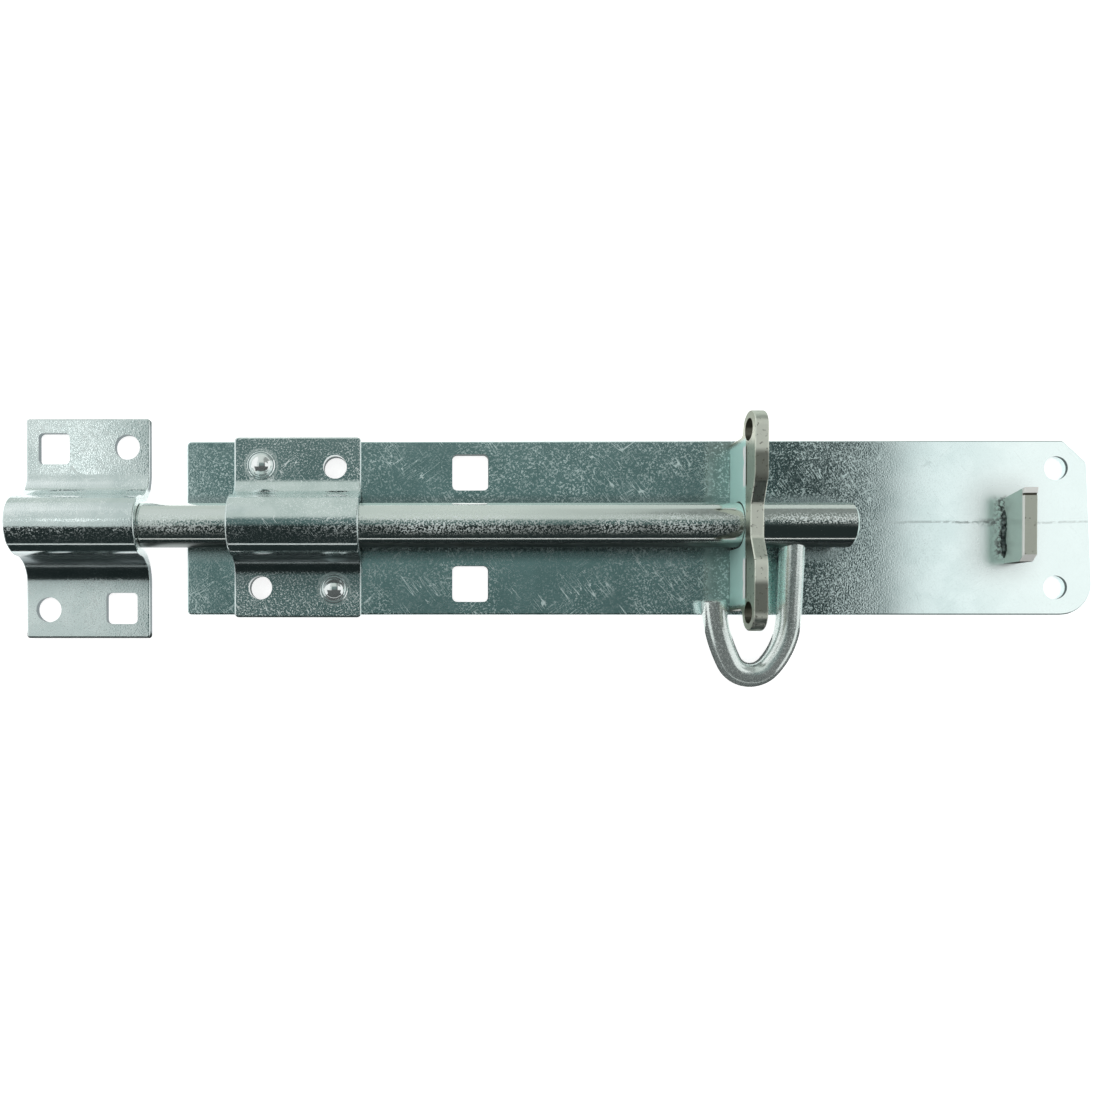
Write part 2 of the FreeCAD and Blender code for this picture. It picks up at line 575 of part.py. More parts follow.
def hook_handle():
    """Hook bent from round rod, welded to the bar at its root and resting on the edge of the plate."""
    body = new_body("hook_handle", x=HOOK_X, z=AXIS_Z)
    # The legs lean down until the rod lies its rest gap from the plate's edge
    depth, reach = f"({AXIS_Z} - plate_thickness)", "plate_width / 2"
    gap = "(hook_rod / 2 + hook_rest_gap)"
    lean = of(f"acos({gap} / sqrt({depth} ^ 2 + ({reach}) ^ 2)) - atan2({reach}; {depth})")
    body.Placement.Rotation = FreeCAD.Rotation(FreeCAD.Vector(1, 0, 0), value(lean))
    body.setExpression("Placement.Rotation.Angle", lean)

    low_y = "(hook_bottom_radius - hook_drop)"
    root_sine = "((hook_root_radius - hook_span) / (hook_root_radius - hook_bottom_radius))"
    root_cosine = f"sqrt(1 - {root_sine} ^ 2)"
    root_x = "(hook_span - hook_root_radius)"
    root_y = f"({low_y} + (hook_root_radius - hook_bottom_radius) * {root_cosine})"
    tip_y = f"(-{TIP_CENTRE_DROP})"
    route = new_sketch(body, "hook_route", "XY_Plane")
    draw(route, [
        ("hook_span", "0"),
        ("hook_span", root_y),
        (f"hook_bottom_radius * {root_sine}", f"{low_y} - hook_bottom_radius * {root_cosine}",
         root_x, root_y, -1),
        ("-hook_bottom_radius * sin(hook_tip_start)", f"{low_y} - hook_bottom_radius * cos(hook_tip_start)",
         "0", low_y, -1),
        (f"{TIP_CENTRE_X} - hook_tip_radius * sin(hook_tip_end)",
         f"{tip_y} - hook_tip_radius * cos(hook_tip_end)", TIP_CENTRE_X, tip_y, -1),
    ], closed=False)
    rod = new_sketch(body, "hook_rod_section", "XZ_Plane")
    draw_circle(rod, "hook_span", "0", "hook_rod")
    bent = body.newObject("PartDesign::AdditivePipe", "hook_bent")
    bent.Profile = rod
    bent.Spine = (route, [f"Edge{n}" for n in range(1, 5)])
    doc.recompute()
    seat = new_sketch(body, "hook_seat", "YZ_Plane")
    draw_circle(seat, "0", "0", "bar_diameter + 2 * weld_gap")
    cut_through(body, "hook_saddle", seat)
    ends = [vertex.Point for vertex in route.Shape.Edges[-1].Vertexes]
    dress(body, "Chamfer", "hook_tip", "hook_tip_chamfer",
          lambda edge: any((edge.CenterOfMass - end).Length < 1e-4 for end in ends))
    return body


makers = (base_plate, guide_strap, strap_rivets, bolt_bar, locking_lug, stop_tab, keep, hook_handle)
parts = [make() for make in makers]
doc.recompute()
for item in doc.Objects:
    if {"Invalid", "Error"} & set(item.State):
        raise RuntimeError(f"{item.Label} failed: {item.State}")
for part in parts:
    if part.Shape.isNull() or not part.Shape.isValid():
        raise RuntimeError(f"{part.Label} has no valid shape")
os.makedirs("parts", exist_ok=True)
for part in parts:
    part.Shape.exportStep(f"parts/{part.Label}.step")
    print(part.Label, len(part.Shape.Solids), round(part.Shape.Volume, 3), part.Shape.BoundBox)
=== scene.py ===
"""Looks of a zinc-plated padbolt: the finish of each piece, the studio around it and the camera.

Every length is in metres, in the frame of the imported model: the plate's back lies on z = 0, the bolt
runs along X with the keep at -X, and +Z points away from the door. Colours are linear.
"""

import logging
import math
from dataclasses import dataclass
from enum import Enum
from functools import reduce
from typing import Any, Union

import bmesh
import bpy
from mathutils import Matrix, Vector, noise

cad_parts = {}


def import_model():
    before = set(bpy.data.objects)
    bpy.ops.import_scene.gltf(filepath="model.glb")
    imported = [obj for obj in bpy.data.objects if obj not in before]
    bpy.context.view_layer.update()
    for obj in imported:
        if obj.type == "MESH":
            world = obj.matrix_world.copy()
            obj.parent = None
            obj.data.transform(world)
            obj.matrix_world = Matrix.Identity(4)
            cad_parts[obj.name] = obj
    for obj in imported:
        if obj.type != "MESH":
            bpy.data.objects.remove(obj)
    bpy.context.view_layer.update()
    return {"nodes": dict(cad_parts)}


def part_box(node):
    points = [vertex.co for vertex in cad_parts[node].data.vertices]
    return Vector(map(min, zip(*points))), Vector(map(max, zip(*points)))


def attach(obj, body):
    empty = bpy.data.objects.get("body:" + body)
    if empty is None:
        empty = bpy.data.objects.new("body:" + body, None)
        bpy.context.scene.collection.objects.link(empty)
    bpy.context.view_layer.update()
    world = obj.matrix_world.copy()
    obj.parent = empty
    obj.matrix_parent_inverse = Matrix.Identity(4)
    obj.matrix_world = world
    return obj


LOG = logging.getLogger("padbolt")
MM = 0.001

Pair = tuple[float, float]
Span = Pair
Triple = tuple[float, float, float]
Colour = Triple
Operand = Union["Socket", float, Triple]

WHITE: Colour = (1.0, 1.0, 1.0)
# Near black: torn metal, pits, and the painted shadow line at the tab's lip.
NEAR_BLACK: Colour = (0.10, 0.10, 0.07)
PUNCHED: Colour = (0.76, 0.79, 0.69)
CROPPED: Colour = (0.44, 0.47, 0.40)
# Pale metal: the tab's lip painted as lit, its painted edge highlight, and its corner.
PALE_METAL: Colour = (0.88, 0.90, 0.86)
SHADED: Colour = (0.16, 0.20, 0.21)


class Axis(Enum):
    """One of the three axes, by its place in a vector."""

    X = 0
    Y = 1
    Z = 2


class Socket:
    """An output of a shader graph, whose maths is written with Python's operators."""

    def __init__(self, graph: "ShaderGraph", output: bpy.types.NodeSocket) -> None:
        """Wrap one output socket of a graph."""
        self.graph = graph
        self.output = output

    def maths(self, operation: str, *operands: Operand) -> "Socket":
        """Add a Math node.

        Args:
            operation: The Math node's operation.
            operands: Its inputs, in order.

        Returns:
            The node's value.
        """
        return self.graph.node("ShaderNodeMath", {"operation": operation}, dict(enumerate(operands)))

    def __add__(self, other: Operand) -> "Socket":
        """Add two values."""
        return self.maths("ADD", self, other)

    def __radd__(self, other: Operand) -> "Socket":
        """Add two values."""
        return self.maths("ADD", other, self)

    def __sub__(self, other: Operand) -> "Socket":
        """Take the other value from this one."""
        return self.maths("SUBTRACT", self, other)

    def __rsub__(self, other: Operand) -> "Socket":
        """Take this value from the other one."""
        return self.maths("SUBTRACT", other, self)

    def __mul__(self, other: Operand) -> "Socket":
        """Multiply two values."""
        return self.maths("MULTIPLY", self, other)

    def __rmul__(self, other: Operand) -> "Socket":
        """Multiply two values."""
        return self.maths("MULTIPLY", other, self)

    def __abs__(self) -> "Socket":
        """Drop the value's sign."""
        return self.maths("ABSOLUTE", self)

    def greatest(self, other: Operand) -> "Socket":
        """Take the greater of two values."""
        return self.maths("MAXIMUM", self, other)

    def step(self, start: float, full: float) -> "Socket":
        """Rise smoothly from 0 to 1 between two values.

        Args:
            start: Value at which the result is 0.
            full: Value at which it is 1, which may be the lower of the two.

        Returns:
            The eased share between them.
        """
        if full < start:
            return 1.0 - self.step(full, start)
        settings = {"interpolation_type": "SMOOTHSTEP"}
        return self.graph.node("ShaderNodeMapRange", settings, {"Value": self, 1: start, 2: full})

    def along(self, axis: Axis) -> "Socket":
        """Take one coordinate of a vector."""
        return self.graph.node("ShaderNodeSeparateXYZ", {}, {0: self}, axis.value)


class ShaderGraph:
    """The node tree of a material or the world."""

    def __init__(self, owner: Union[bpy.types.Material, bpy.types.World]) -> None:
        """Start an empty tree on its owner."""
        owner.use_nodes = True
        self.tree = owner.node_tree
        self.tree.nodes.clear()

    def node(self, kind: str, settings: dict[str, Any], inputs: dict[Union[int, str], Operand],
             output: Union[int, str] = 0) -> Socket:
        """Add a node of any kind.

        Args:
            kind: The node's type.
            settings: Its properties, set before its inputs.
            inputs: Values or sockets for its inputs, by name or place.
            output: The output to hand back, by name or place.

        Returns:
            That output.
        """
        made = self.tree.nodes.new(kind)
        for name, setting in settings.items():
            setattr(made, name, setting)
        for name, value in inputs.items():
            if isinstance(value, Socket):
                self.tree.links.new(value.output, made.inputs[name])
            else:
                made.inputs[name].default_value = self._fitted(made.inputs[name], value)
        return Socket(self, made.outputs[output])

    @staticmethod
    def _fitted(socket: bpy.types.NodeSocket, value: Any) -> Any:
        """Add the fourth number that a colour socket takes."""
        return (*value, 1.0) if socket.type == "RGBA" and len(value) == 3 else value

    def mixed(self, share: Operand, first: Operand, second: Operand) -> Socket:
        """Mix two colours.

        Args:
            share: How much of the second colour shows.
            first: The colour at 0.
            second: The colour at 1.

        Returns:
            The mixed colour.
        """
        settings = {"data_type": "RGBA", "blend_type": "MIX"}
        return self.node("ShaderNodeMix", settings, {0: share, 6: first, 7: second}, 2)

    def place(self, turn: float = 0.0, stretch: Triple = (1.0, 1.0, 1.0)) -> Socket:
        """Read the piece's own coordinates, turned about Z, with what lies on them stretched."""
        spot = self.node("ShaderNodeTexCoord", {}, {}, "Object")
        return self.node("ShaderNodeMapping", {"vector_type": "TEXTURE"},
                         {"Vector": spot, "Rotation": (0.0, 0.0, turn), "Scale": stretch})

    def facing(self, axis: Axis) -> Socket:
        """Read how far a surface faces along an axis of its own piece."""
        return self.node("ShaderNodeTexCoord", {}, {}, "Normal").along(axis)

    def distance(self, first: Socket, second: Socket) -> Socket:
        """Measure the distance from a point, from the offsets along two axes."""
        offset = self.node("ShaderNodeCombineXYZ", {}, {0: first, 1: second})
        return self.node("ShaderNodeVectorMath", {"operation": "LENGTH"}, {0: offset}, "Value")

    def noise(self, place: Socket, grain: float, detail: float = 2.0, rough: float = 0.5) -> Socket:
        """Fill the surface with noise about 0.5.

        Args:
            place: Coordinates that it follows.
            grain: Size of its grains in metres.
            detail: Finer layers on top of the first.
            rough: Strength of those layers.

        Returns:
            The noise.
        """
        inputs = {"Vector": place, "Scale": 1.0 / grain, "Detail": detail, "Roughness": rough}
        return self.node("ShaderNodeTexNoise", {"noise_dimensions": "3D"}, inputs)

    def end(self, shader: Socket, kind: str = "ShaderNodeOutputMaterial") -> None:
        """Send a shader to the tree's output."""
        output = self.tree.nodes.new(kind)
        self.tree.links.new(shader.output, output.inputs["Surface"])


@dataclass(frozen=True)
class Coat:
    """How a mark looks: colour, roughness, strength, share of metal shine, and rise in metres."""

    colour: Colour
    rough: float
    strength: float = 1.0
    metal: float = 1.0
    rise: float = 0.0


@dataclass
class Skin:
    """The colour, roughness, height and metal share of a surface while its layers are put on."""

    colour: Socket
    rough: Socket
    height: Socket
    metal: Operand = 1.0

    def lay(self, graph: ShaderGraph, share: Socket, coat: Coat) -> None:
        """Lay a mark over the surface.

        Args:
            graph: Tree that the nodes go into.
            share: Where the mark is, from 0 to 1.
            coat: How it looks.
        """
        shown = share * coat.strength
        self.colour = graph.mixed(shown, self.colour, coat.colour)
        self.rough = self.rough + (coat.rough - self.rough) * shown
        if coat.metal < 1.0:
            self.metal = self.metal * (1.0 - shown * (1.0 - coat.metal))
        if coat.rise:
            self.height = self.height + shown * coat.rise


@dataclass(frozen=True)
class ZincFinish:
    """Bright zinc plating on steel, with the cloudiness, grain and scratches of one piece, and painted shade
    on the sides that face down.

    A span holds the value at which something starts and the value at which it is full. Each run of
    scratches has its turn in radians and its width.
    """

    name: str
    bright: Colour
    cloud: Colour
    cloud_size: float = 8 * MM
    cloud_span: Span = (0.35, 0.65)
    patch_size: float = 22 * MM
    patch_span: Span = (0.3, 0.7)
    roughness: float = 0.1
    rough_swing: float = 0.08
    metal: float = 1.0
    grain_size: float = 0.42 * MM
    grain_rise: float = 2.1e-5
    grain_least: float = 0.65
    grain_swing: float = 0.6
    speck: Colour = (0.82, 0.91, 0.89)
    speck_from: float = 0.54
    speck_edge: float = 0.07
    speck_share: float = 0.6
    speck_least: float = 0.3
    speck_size: float = 0.45 * MM
    speck_turn: float = 0.4
    speck_rough: float = 0.6
    speck_metal: float = 0.3
    scratch_share: float = 0.7
    scratch_runs: tuple[Pair, ...] = ((0.6, 0.9 * MM), (-0.9, 1.1 * MM), (2.2, 1.3 * MM))
    scratch_stretch: Triple = (12.0, 1.0, 1.0)
    scratch_edge: Span = (0.02, 0.004)
    scratch_patch: float = 7 * MM
    scratch_span: Span = (0.56, 0.66)
    drawn: bool = False
    drawn_stretch: Triple = (8.0, 1.0, 1.0)
    # Painted shade: the colour of the sides that face down, towards the door.
    under: Coat = Coat((0.36, 0.42, 0.42), 0.36, strength=0.9)
    underside_shade_span: Span = (-0.6, -0.9)

    def material(self) -> bpy.types.Material:
        """Make the material of this finish.

        Returns:
            A new material with its node tree.
        """
        made = bpy.data.materials.new(self.name)
        graph = ShaderGraph(made)
        skin = self.plating(graph)
        self.mark(graph, skin)
        bump = graph.node("ShaderNodeBump", {}, {"Strength": 1.0, "Distance": 1.0, "Height": skin.height})
        graph.end(graph.node("ShaderNodeBsdfPrincipled", {}, {
            "Base Color": skin.colour, "Metallic": skin.metal, "Roughness": skin.rough, "Normal": bump}))
        return made

    def plating(self, graph: ShaderGraph) -> Skin:
        """Lay the cloudy, grainy plating itself, with painted shade on the sides that face down.

        Args:
            graph: Tree that the nodes go into.

        Returns:
            The surface so far.
        """
        place = graph.place(stretch=self.drawn_stretch) if self.drawn else graph.place()
        clouds = graph.noise(place, self.cloud_size, detail=3.0, rough=0.6)
        patches = graph.noise(graph.place(), self.patch_size).step(*self.patch_span)
        grain = graph.noise(graph.place(), self.grain_size, detail=1.0)
        worn = self.wear(graph)
        specks = self.flecks(graph, graph.place(self.speck_turn))
        specks = specks * (self.speck_least + patches * (1.0 - self.speck_least)) * worn * self.speck_share
        skin = Skin(
            graph.mixed(clouds.step(*self.cloud_span), self.cloud, self.bright),
            self.roughness + (clouds - 0.5) * self.rough_swing,
            grain * (self.grain_least + patches * self.grain_swing) * worn * self.grain_rise,
            self.metal)
        # Painted shade on the sides that face down.
        skin.lay(graph, graph.facing(Axis.Z).step(*self.underside_shade_span), self.under)
        skin.lay(graph, specks, self.powder())
        if self.scratch_share:
            skin.lay(graph, self.scratches(graph) * worn, self.powder())
        return skin

    def wear(self, graph: ShaderGraph) -> Operand:
        """Say where the plating is grainy, which is everywhere on a plain finish."""
        return 1.0

    def mark(self, graph: ShaderGraph, skin: Skin) -> None:
        """Add what only this piece has, which is nothing on a plain finish."""

    def powder(self) -> Coat:
        """Give the powdery look of specks and scratches."""
        return Coat(self.speck, self.speck_rough, metal=self.speck_metal)

    def flecks(self, graph: ShaderGraph, place: Socket) -> Socket:
        """Strew pale specks over a surface.

        Args:
            graph: Tree that the nodes go into.
            place: Coordinates that they follow.

        Returns:
            A mask that is 1 on a speck.
        """
        specks = graph.noise(place, self.speck_size, detail=2.0, rough=0.6)
        return specks.step(self.speck_from, self.speck_from + self.speck_edge)

    def scratches(self, graph: ShaderGraph) -> Socket:
        """Draw short fine scratches in a few directions.

        Args:
            graph: Tree that the nodes go into.

        Returns:
            A mask that is 1 on a scratch.
        """
        marks: list[Socket] = []
        for turn, width in self.scratch_runs:
            lines = graph.noise(graph.place(turn, self.scratch_stretch), width, detail=0.0)
            patch = graph.noise(graph.place(turn), self.scratch_patch, detail=1.0)
            marks.append(abs(lines - 0.5).step(*self.scratch_edge) * patch.step(*self.scratch_span))
        return reduce(Socket.greatest, marks) * self.scratch_share


@dataclass
class PlateSpot:
    """Where a point of the plate is: its coordinates, whether it is in front, and X from lug and tab."""

    place: Socket
    along: Socket
    across: Socket
    up: Socket
    front: Socket
    from_lug: Socket
    from_tab: Socket


@dataclass(frozen=True)
class PlateFinish(ZincFinish):
    """Plating of the base plate, worn by the bar's end and scorched where the tab is welded on, with painted
    shade beside the lug's foot, a painted shadow under the bar, and its end painted paler.

    Spans with lug or tab in their names are measured along X from its left side.
    """

    front_span: Span = (0.8, 0.95)
    grainy_span: Span = (75 * MM, 53 * MM)
    grain_low: float = 0.12
    grain_high: float = 0.88
    grain_more: float = 0.4
    grain_more_span: Span = (28 * MM, 42 * MM)
    # Painted shade on the strip beside the lug's foot, which is also rougher.
    lug_foot_shade: Coat = Coat((0.26, 0.35, 0.34), 0.5, strength=0.85)
    foot_shade_lug_start: Span = (-8 * MM, -4 * MM)
    foot_shade_lug_end: Span = (0.6 * MM, 0.0)
    foot_shade_flecks: float = 0.85
    # Painted shadow on the plate under the bar.
    painted_shade: Coat = Coat((0.22, 0.29, 0.29), 0.4, strength=0.5)
    bar_shadow_across: Span = (10 * MM, 7.5 * MM)
    bar_shadow_end: Span = (58 * MM, 50 * MM)
    # Fewer specks at the plate's end, and a paler colour there that is painted light.
    clean_and_lit: Coat = Coat((0.87, 0.98, 0.96), 0.12, strength=0.8)
    clean_and_lit_span: Span = (82 * MM, 112 * MM)
    matt: Coat = Coat((0.90, 0.98, 0.96), 0.42, strength=0.75)
    matt_tab_start: Span = (-16 * MM, -2 * MM)
    matt_tab_end: Span = (14 * MM, 2 * MM)
    matt_across: Span = (20 * MM, 7 * MM)
    worn: Coat = Coat((0.46, 0.53, 0.52), 0.5, metal=0.4)
    line_y: float = 1.5 * MM
    line_edge: Span = (0.45 * MM, 0.135 * MM)
    line_span: Span = (61 * MM, 75 * MM)
    line_least: float = 0.3
    line_swing: float = 0.6
    line_tab_span: Span = (-22 * MM, -4 * MM)
    waver_size: float = 12 * MM
    waver: float = 1.2 * MM
    break_size: float = 2.2 * MM
    break_span: Span = (0.36, 0.56)
    scorched: Coat = Coat((0.05, 0.065, 0.06), 0.5, metal=0.3, rise=1e-5)
    soot_size: float = 1.1 * MM
    soot_span: Span = (0.42, 0.6)
    soot_across: Span = (9.5 * MM, 7 * MM)
    soot_tab_span: Span = (-4 * MM, -1 * MM)
    trail_tab_span: Span = (-9 * MM, 0.0)
    trail_edge: Span = (1.6 * MM, 0.4 * MM)
    tab_side: Span = (1 * MM, 0.4 * MM)
    sheared: Coat = Coat((0.10, 0.13, 0.13), 0.5)
    wall_span: Span = (0.6, 0.3)
    wall_across: Span = (22.5 * MM, 22 * MM)
    wall_along: Span = (121.5 * MM, 121 * MM)
    end_holes: Span = (100 * MM, 101 * MM)
    end_hole_rim: Span = (1.7 * MM, 1.4 * MM)

    def wear(self, graph: ShaderGraph) -> Operand:
        """Say where the plating is grainy: most beside the lug, and hardly at the tab's end.

        Args:
            graph: Tree that the nodes go into.

        Returns:
            How grainy it is at each place.
        """
        along = graph.place().along(Axis.X)
        high = self.grain_high + along.step(*self.grain_more_span) * self.grain_more
        return self.grain_low + along.step(*self.grainy_span) * high

    def mark(self, graph: ShaderGraph, skin: Skin) -> None:
        """Paint shade beside the lug's foot and a shadow under the bar, clear the plate's end and paint it
        paler, and draw the tab's marks and the hole walls.

        Args:
            graph: Tree that the nodes go into.
            skin: The plating that they lie on.
        """
        place = graph.place()
        along, across, up = place.along(Axis.X), place.along(Axis.Y), place.along(Axis.Z)
        front = graph.facing(Axis.Z).step(*self.front_span)
        tab_low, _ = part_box("stop_tab")
        lug_low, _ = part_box("locking_lug")
        spot = PlateSpot(place, along, across, up, front, along - lug_low[0], along - tab_low[0])
        self._paint_shade_by_lug_and_bar(graph, skin, spot)
        self._bright_end(graph, skin, spot)
        self._wear_line(graph, skin, spot)
        self._soot(graph, skin, spot)
        self._hole_walls(graph, skin, spot)

    def _paint_shade_by_lug_and_bar(self, graph: ShaderGraph, skin: Skin, spot: PlateSpot) -> None:
        """Paint shade on the strip beside the lug's foot, and a shadow on the plate under the bar.

        Args:
            graph: Tree that the nodes go into.
            skin: The plating that they lie on.
            spot: Where a point of the plate is.
        """
        # Painted shade beside the lug's foot, with specks over it.
        beside = spot.from_lug.step(*self.foot_shade_lug_start) * spot.from_lug.step(*self.foot_shade_lug_end)
        beside = beside * spot.front
        skin.lay(graph, beside, self.lug_foot_shade)
        skin.lay(graph, beside * self.flecks(graph, spot.place) * self.foot_shade_flecks, self.powder())
        # Painted shadow under the bar.
        bar_shadow = abs(spot.across).step(*self.bar_shadow_across) * spot.along.step(*self.bar_shadow_end)
        skin.lay(graph, bar_shadow * spot.front, self.painted_shade)

    def _bright_end(self, graph: ShaderGraph, skin: Skin, spot: PlateSpot) -> None:
        """Clear the end of the plate of its specks and paint it paler, which is painted light, and leave it
        matt round the tab.

        Args:
            graph: Tree that the nodes go into.
            skin: The plating that they lie on.
            spot: Where a point of the plate is.
        """
        # Painted light: the plate's end is painted paler, and its specks are covered.
        skin.lay(graph, spot.along.step(*self.clean_and_lit_span) * spot.front, self.clean_and_lit)
        near = spot.from_tab.step(*self.matt_tab_start) * spot.from_tab.step(*self.matt_tab_end)
        skin.lay(graph, near * abs(spot.across).step(*self.matt_across) * spot.front, self.matt)

    def _wear_line(self, graph: ShaderGraph, skin: Skin, spot: PlateSpot) -> None:
        """Draw the broken line that the bar's end leaves on the plate.

        Args:
            graph: Tree that the nodes go into.
            skin: The plating that it lies on.
            spot: Where a point of the plate is.
        """
        waver = (graph.noise(spot.place, self.waver_size) - 0.5) * self.waver
        line = abs(spot.across - self.line_y + waver).step(*self.line_edge)
        close = spot.from_tab.step(*self.line_tab_span) * spot.from_tab.step(*self.tab_side) * spot.front
        line = line * spot.along.step(*self.line_span) * spot.front
        line = line * (self.line_least + close * self.line_swing)
        broken = graph.noise(spot.place, self.break_size, detail=3.0, rough=0.7).step(*self.break_span)
        skin.lay(graph, line * broken, self.worn)

    def _soot(self, graph: ShaderGraph, skin: Skin, spot: PlateSpot) -> None:
        """Smudge the plate at the tab's foot, and in a short trail along the wear line.

        Args:
            graph: Tree that the nodes go into.
            skin: The plating that it lies on.
            spot: Where a point of the plate is.
        """
        left = spot.from_tab.step(*self.tab_side) * spot.front
        close = spot.from_tab.step(*self.soot_tab_span) * abs(spot.across).step(*self.soot_across)
        trail = abs(spot.across - self.line_y).step(*self.trail_edge)
        trail = trail * spot.from_tab.step(*self.trail_tab_span)
        soot = graph.noise(spot.place, self.soot_size, detail=3.0, rough=0.7).step(*self.soot_span)
        skin.lay(graph, soot * close.greatest(trail) * left, self.scorched)

    def _hole_walls(self, graph: ShaderGraph, skin: Skin, spot: PlateSpot) -> None:
        """Darken the sheared walls of the holes, at the plate's end only near the front.

        Args:
            graph: Tree that the nodes go into.
            skin: The plating that they lie on.
            spot: Where a point of the plate is.
        """
        walls = abs(graph.facing(Axis.Z)).step(*self.wall_span)
        walls = walls * abs(spot.across).step(*self.wall_across) * abs(spot.along).step(*self.wall_along)
        pale = spot.along.step(*self.end_holes) * spot.up.step(*self.end_hole_rim)
        skin.lay(graph, walls * (1.0 - pale), self.sheared)


@dataclass(frozen=True)
class BarFinish(ZincFinish):
    """Plating of the round bar, grainy along the front and with painted shade low down.

    Spans are of how far the surface faces along Y, apart from tail_span along X.
    """

    front_span: Span = (-0.62, -0.3)
    back_span: Span = (0.5, 0.2)
    back_grain: float = 0.2
    tail_span: Span = (24 * MM, 27 * MM)
    tail_clean: Span = (0.1, -0.14)
    # Painted shade on the bar's lower side, where it faces -Y.
    lower_side_shade: Coat = Coat((0.07, 0.09, 0.09), 0.35, strength=0.8)
    lower_side_shade_span: Span = (-0.74, -0.88)

    def wear(self, graph: ShaderGraph) -> Operand:
        """Say where the plating is grainy: along the front, and only its upper half past the lug.

        Args:
            graph: Tree that the nodes go into.

        Returns:
            How grainy it is at each place.
        """
        tilt = graph.facing(Axis.Y)
        tail = graph.place().along(Axis.X).step(*self.tail_span)
        back = self.back_grain + tilt.step(*self.back_span) * (1.0 - self.back_grain)
        return tilt.step(*self.front_span) * back * (1.0 - tail * tilt.step(*self.tail_clean))

    def mark(self, graph: ShaderGraph, skin: Skin) -> None:
        """Paint shade along the bar's lower side, the side that faces -Y."""
        skin.lay(graph, graph.facing(Axis.Y).step(*self.lower_side_shade_span), self.lower_side_shade)


@dataclass(frozen=True)
class PressedFinish(ZincFinish):
    """Plating of a pressed sheet, with painted shade in its lower hollow and pale round each rivet.

    Spans with a length lie across the bolt, apart from keep_span along X and the ring's. The others are of
    how far a surface faces along Y, and edge_span along Z.
    """

    barrel_span: Span = (9 * MM, 8 * MM)
    barrel_grain: Span = (-0.75, -0.18)
    flange_grain: Span = (-0.28, -0.04)
    hollow_flange: Span = (-20 * MM, -12 * MM)
    hollow_barrel: Span = (-7 * MM, -9 * MM)
    hollow_wall: Span = (-0.6, -0.85)
    # Painted shade in the lower hollow, deeper on its walls that face -Y.
    painted_shade: Coat = Coat(SHADED, 0.3, strength=0.5)
    wall_shade: Coat = Coat(SHADED, 0.35, strength=0.7)
    edge_span: Span = (0.5, 0.3)
    edge_across: Span = (9.5 * MM, 11 * MM)
    keep_span: Span = (-118 * MM, -122 * MM)
    sheared: Coat = Coat(SHADED, 0.45, strength=0.9)
    skirt_half: float = 3.85 * MM
    ring_radius: float = 4.4 * MM
    ring_edge: Span = (0.6 * MM, 0.12 * MM)
    ring: Coat = Coat((0.88, 0.95, 0.93), 0.4, strength=0.6)

    def wear(self, graph: ShaderGraph) -> Operand:
        """Say where the plating is grainy: not on the sides that face the hook's way.

        Args:
            graph: Tree that the nodes go into.

        Returns:
            How grainy it is at each place.
        """
        tilt = graph.facing(Axis.Y)
        barrel = abs(graph.place().along(Axis.Y)).step(*self.barrel_span)
        return tilt.step(*self.flange_grain) * (1.0 - barrel) + tilt.step(*self.barrel_grain) * barrel

    def mark(self, graph: ShaderGraph, skin: Skin) -> None:
        """Paint shade into the lower hollow, darken the keep's sheared edges, and draw the pale rings round
        the rivets.

        Args:
            graph: Tree that the nodes go into.
            skin: The plating that they lie on.
        """
        low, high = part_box("strap_rivets")
        place = graph.place()
        along, across = place.along(Axis.X), place.along(Axis.Y)
        hollow = across.step(*self.hollow_flange) * across.step(*self.hollow_barrel)
        # Painted shade in the lower hollow.
        skin.lay(graph, hollow, self.painted_shade)
        skin.lay(graph, hollow * graph.facing(Axis.Y).step(*self.hollow_wall), self.wall_shade)
        edge = abs(graph.facing(Axis.Z)).step(*self.edge_span) * abs(across).step(*self.edge_across)
        skin.lay(graph, edge * along.step(*self.keep_span), self.sheared)
        for x, y in ((low[0] + self.skirt_half, high[1] - self.skirt_half),
                     (high[0] - self.skirt_half, low[1] + self.skirt_half)):
            radius = graph.distance(along - x, across - y)
            skin.lay(graph, abs(radius - self.ring_radius).step(*self.ring_edge), self.ring)


